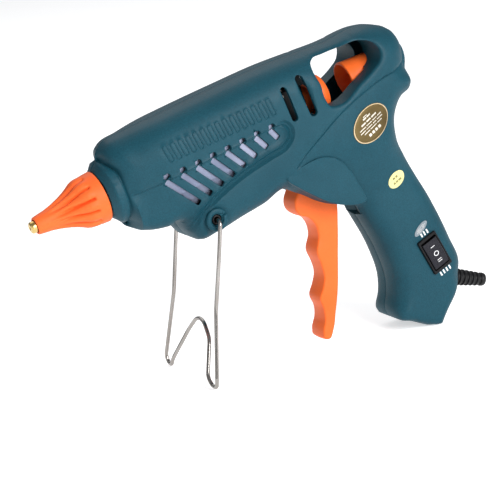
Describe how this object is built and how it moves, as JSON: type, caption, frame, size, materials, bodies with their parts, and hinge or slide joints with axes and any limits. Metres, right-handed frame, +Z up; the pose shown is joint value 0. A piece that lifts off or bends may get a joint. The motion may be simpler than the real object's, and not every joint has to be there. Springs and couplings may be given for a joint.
{
  "type": "hot glue gun",
  "caption": "Hot glue gun on a folding wire stand, with a lever trigger, rocker switch, fluted nozzle cover, see-through feed window and cord strain relief.",
  "frame": {"origin": "on the surface the gun stands on, on its mid-plane, half way along the whole length", "axes": "+X back from the nozzle towards the cord, +Y towards the side without the switch, +Z up from the surface"},
  "size_m": [0.2474, 0.0634, 0.1595],
  "materials": {
    "teal_body": "fine moulded grain",
    "brass_nozzle": "turned",
    "orange_silicone": "satin",
    "cast_aluminium": "as cast",
    "ceramic": "matt",
    "shield_sheet": "bright sheet",
    "bright_steel": "plated",
    "orange_plastic": "smooth satin",
    "black_plastic": "satin",
    "stand_wire": "nickel plated wire",
    "rocker_black": "gloss",
    "black_rubber": "matt",
    "brass_terminal": "stamped",
    "brown_lead": "insulated wire",
    "blue_lead": "insulated wire",
    "bronze_foil": "printed foil",
    "yellow_foil": "printed foil",
    "grey_foil": "printed foil"
  },
  "bodies": {
    "gun": {"left_shell": "teal_body", "right_shell": "teal_body", "nozzle": "brass_nozzle", "nozzle_cover": "orange_silicone", "melt_chamber": "cast_aluminium", "front_insulator": "ceramic", "rear_insulator": "ceramic", "heater_upper": "ceramic", "heater_lower": "ceramic", "heat_shield": "shield_sheet", "inlet_sleeve": "orange_silicone", "thermal_fuse": "bright_steel", "inlet_collar": "orange_plastic", "carriage_spring": "bright_steel", "trigger_pivot": "bright_steel", "trigger_spring": "bright_steel", "guide_tube": "orange_plastic", "stand_bush_left": "black_plastic", "stand_bush_right": "black_plastic", "switch_frame": "black_plastic", "strain_relief": "black_rubber", "cord_clamp": "black_plastic", "clamp_screw": "bright_steel", "diode": "black_plastic", "live_lead": "brown_lead", "neutral_lead": "blue_lead", "rating_label": "bronze_foil", "check_label": "yellow_foil", "wattage_label": "grey_foil", "switch_terminal_1": "brass_terminal", "switch_terminal_2": "brass_terminal", "switch_terminal_3": "brass_terminal", "case_screw_1": "bright_steel", "case_screw_2": "bright_steel", "case_screw_3": "bright_steel", "case_screw_4": "bright_steel", "case_screw_5": "bright_steel", "case_screw_6": "bright_steel"},
    "trigger": {"trigger": "orange_plastic"},
    "carriage": {"feed_carriage": "black_plastic", "jaw_pin": "bright_steel"},
    "jaw": {"clamp_jaw": "bright_steel"},
    "rocker": {"rocker": "rocker_black"},
    "stand": {"wire_stand": "stand_wire"}
  },
  "joints": [
    {"name": "trigger_pull", "type": "hinge", "parent": "gun", "child": "trigger", "pos_m": [0.0234, 0, 0.09337], "axis": [0, -1, 0], "range_deg": [0, 20], "stiffness_Nm_per_rad": 0.35, "springref_deg": -8.59},
    {"name": "carriage_feed", "type": "slide", "parent": "gun", "child": "carriage", "axis": [-0.9729, 0, -0.2314], "range_m": [0, 0.0085]},
    {"name": "jaw_bite", "type": "hinge", "parent": "carriage", "child": "jaw", "pos_m": [0.01206, 0, 0.13241], "axis": [0, 1, 0], "range_deg": [0, 6]},
    {"name": "rocker_tilt", "type": "hinge", "parent": "gun", "child": "rocker", "pos_m": [0.08572, -0.0132, 0.03881], "axis": [0.9035, 0, 0.4286], "range_deg": [-8, 8]},
    {"name": "stand_fold", "type": "hinge", "parent": "gun", "child": "stand", "pos_m": [-0.03599, 0, 0.08161], "axis": [0, -1, 0], "range_deg": [0, 75]}
  ],
  "couplings": [
    {"joint": "carriage_feed", "follows": "trigger_pull", "m_per_rad": 0.024},
    {"joint": "jaw_bite", "follows": "trigger_pull", "ratio": 0.25}
  ]
}
